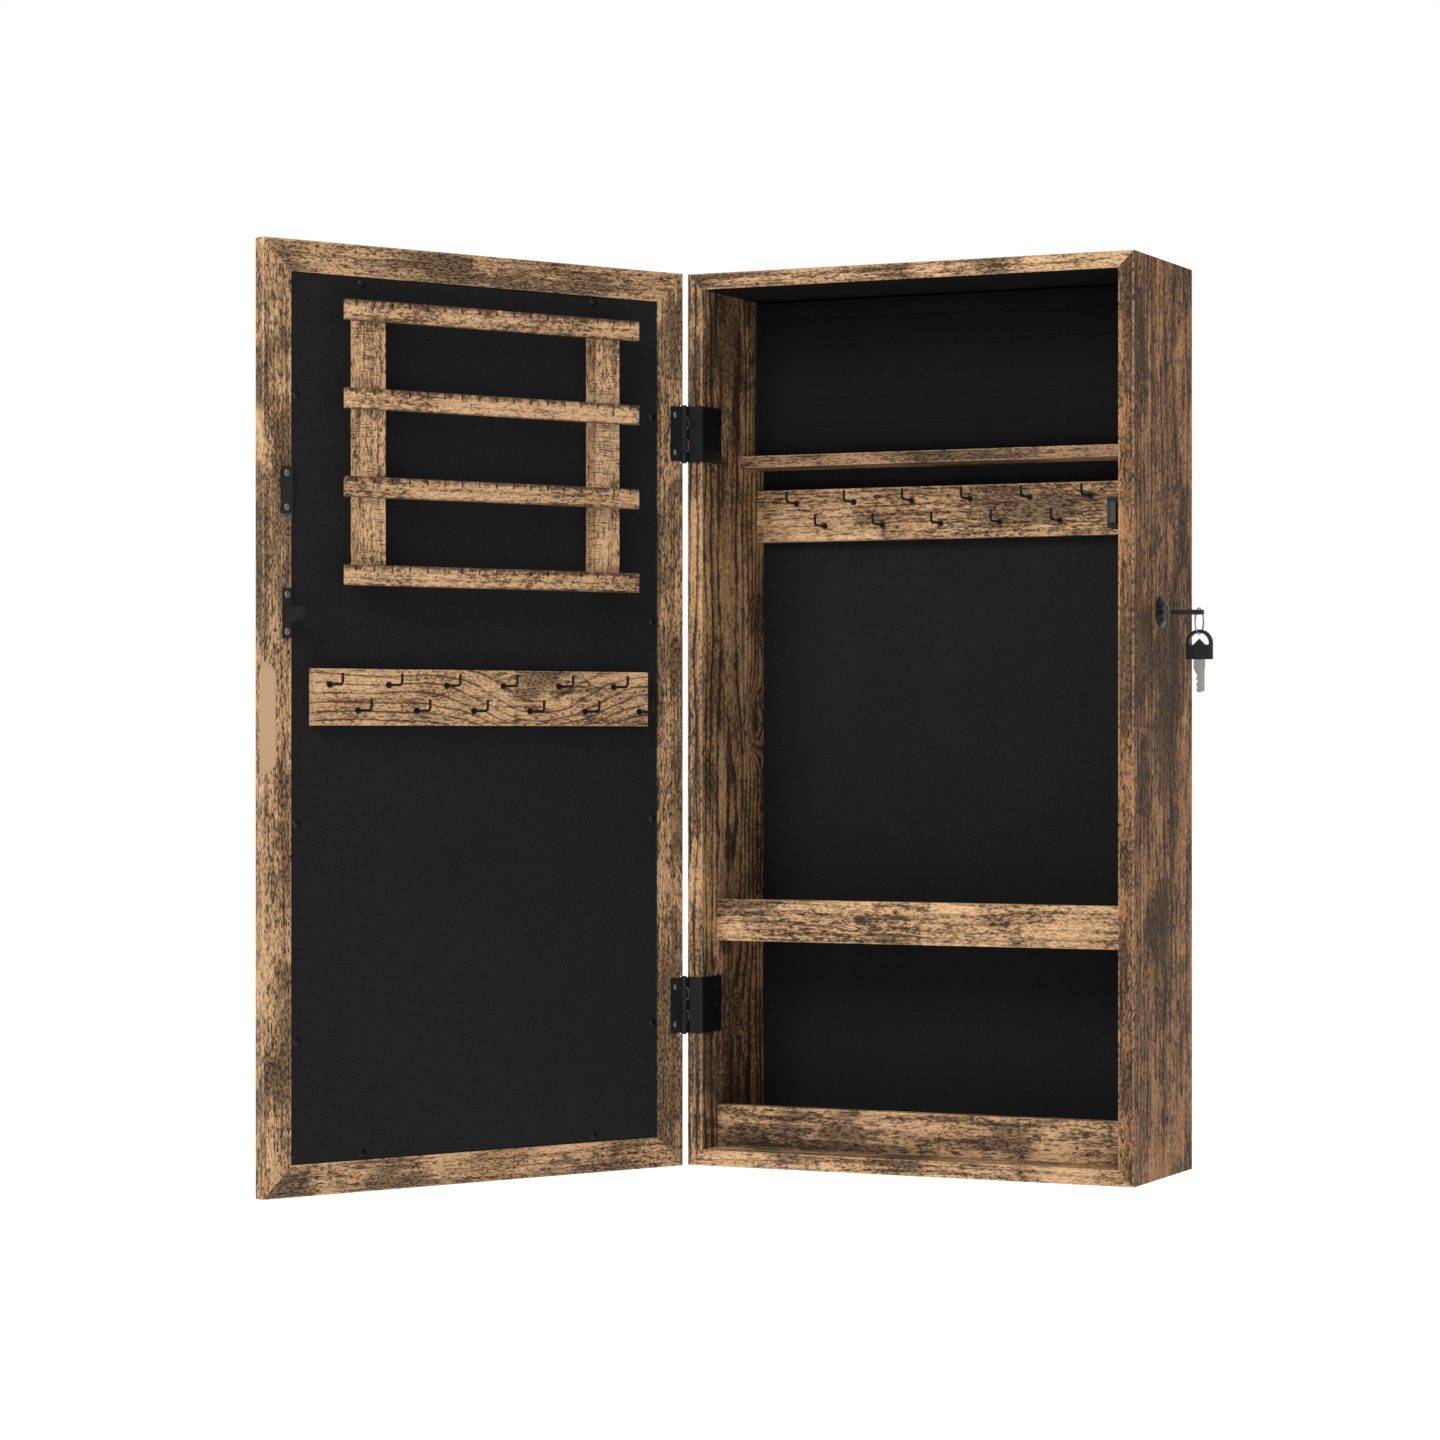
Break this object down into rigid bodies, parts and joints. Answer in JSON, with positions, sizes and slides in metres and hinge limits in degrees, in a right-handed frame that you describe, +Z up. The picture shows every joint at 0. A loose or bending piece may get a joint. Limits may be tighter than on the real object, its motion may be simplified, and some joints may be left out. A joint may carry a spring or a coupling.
{
  "type": "wall-mounted jewelry cabinet",
  "caption": "Wall-mounted wooden jewelry cabinet with a hinged mirror door, hooks, shelf, trays, stud pad, earring rack and a cam lock with keys.",
  "frame": {"origin": "midway between the two wall hanger holes, on the cabinet's rear plane", "axes": "+Y points out of the cabinet's back into the wall, +Z is up, +X points to the cabinet's right as seen from the front"},
  "size_m": [0.5749, 0.4458, 0.67],
  "materials": {
    "cabinet_wood": "rustic printed wood board, low sheen",
    "shelf_wood": "lighter rustic board, low sheen",
    "door_wood": "rustic printed frame with worn edges",
    "rack_wood": "light rustic slats with dark worn edges",
    "plain_wood": "plain unfinished timber",
    "back_board": "thin brown fibre board",
    "black_felt": "fine black felt",
    "black_panel": "black faced fibre board",
    "pad_velvet": "soft black velvet with rows of slits",
    "hook_black": "gloss black",
    "black_hardware": "satin black",
    "black_screws": "satin black",
    "zinc_steel": "plated steel",
    "black_plastic": "smooth black plastic",
    "magnet": "dark sintered block",
    "lock_metal": "dark plated metal",
    "key_metal": "bright plated steel",
    "mirror": "silvered glass"
  },
  "bodies": {
    "cabinet": {"side_board_left": "cabinet_wood", "side_board_right": "cabinet_wood", "top_board": "cabinet_wood", "bottom_board": "cabinet_wood", "back_panel": "back_board", "back_lining": "black_felt", "hanging_rail": "plain_wood", "lower_back_rail": "plain_wood", "hanger_plates": "zinc_steel", "hanger_screws": "zinc_steel", "stud_pad": "pad_velvet", "upper_shelf": "shelf_wood", "cabinet_hook_board": "shelf_wood", "cabinet_hooks": "hook_black", "tray_board": "cabinet_wood", "tray_rail": "cabinet_wood", "bottom_rail": "cabinet_wood", "shelf_dowels": "plain_wood", "catch_housing": "black_plastic", "catch_magnet": "magnet", "catch_pole_plates": "zinc_steel", "catch_screws": "black_screws", "lock_barrel": "black_hardware", "lock_nut": "zinc_steel", "hinge_body_leaves": "black_hardware", "hinge_pins": "black_hardware", "hinge_body_screws": "black_screws"},
    "lock_plug": {"lock_plug": "lock_metal", "lock_cam": "zinc_steel", "cam_screw": "black_screws"},
    "key": {"key_blade": "key_metal", "key_head": "black_plastic"},
    "key_ring": {"key_ring": "key_metal"},
    "spare_key": {"spare_key_blade": "key_metal", "spare_key_head": "black_plastic"},
    "door": {"door_stile_hinge": "door_wood", "door_stile_free": "door_wood", "door_rail_top": "door_wood", "door_rail_bottom": "door_wood", "mirror_glass": "mirror", "mirror_backing": "back_board", "door_panel": "black_panel", "door_panel_screws": "black_screws", "rack_post_left": "rack_wood", "rack_post_right": "rack_wood", "rack_bar_1": "rack_wood", "rack_bar_2": "rack_wood", "rack_bar_3": "rack_wood", "rack_bar_4": "rack_wood", "rack_screws": "black_screws", "door_hook_board": "shelf_wood", "door_hooks": "hook_black", "hinge_door_leaves": "black_hardware", "hinge_door_screws": "black_screws", "strike_plate": "black_hardware", "strike_screws": "black_screws", "lock_keeper": "black_hardware", "keeper_screws": "black_screws"}
  },
  "joints": [
    {"name": "door_hinge", "type": "hinge", "parent": "cabinet", "child": "door", "pos_m": [-0.1792, -0.1331, -0.295], "axis": [0, 0, -1], "range_deg": [-118.9, 61.1]},
    {"name": "lock_turn", "type": "hinge", "parent": "cabinet", "child": "lock_plug", "pos_m": [0.1775, -0.0714, -0.2175], "axis": [-1, 0, 0], "range_deg": [0, 90]},
    {"name": "key_pull", "type": "slide", "parent": "lock_plug", "child": "key", "axis": [1, 0, 0], "range_m": [0, 0.03]},
    {"name": "key_ring_swing", "type": "hinge", "parent": "key", "child": "key_ring", "pos_m": [0.2045, -0.06391, -0.2175], "axis": [1, 0, 0], "range_deg": [-5, 90]},
    {"name": "spare_key_swing", "type": "hinge", "parent": "key_ring", "child": "spare_key", "pos_m": [0.2045, -0.06391, -0.2332], "axis": [0, 1, 0], "range_deg": [-90, 30]}
  ]
}
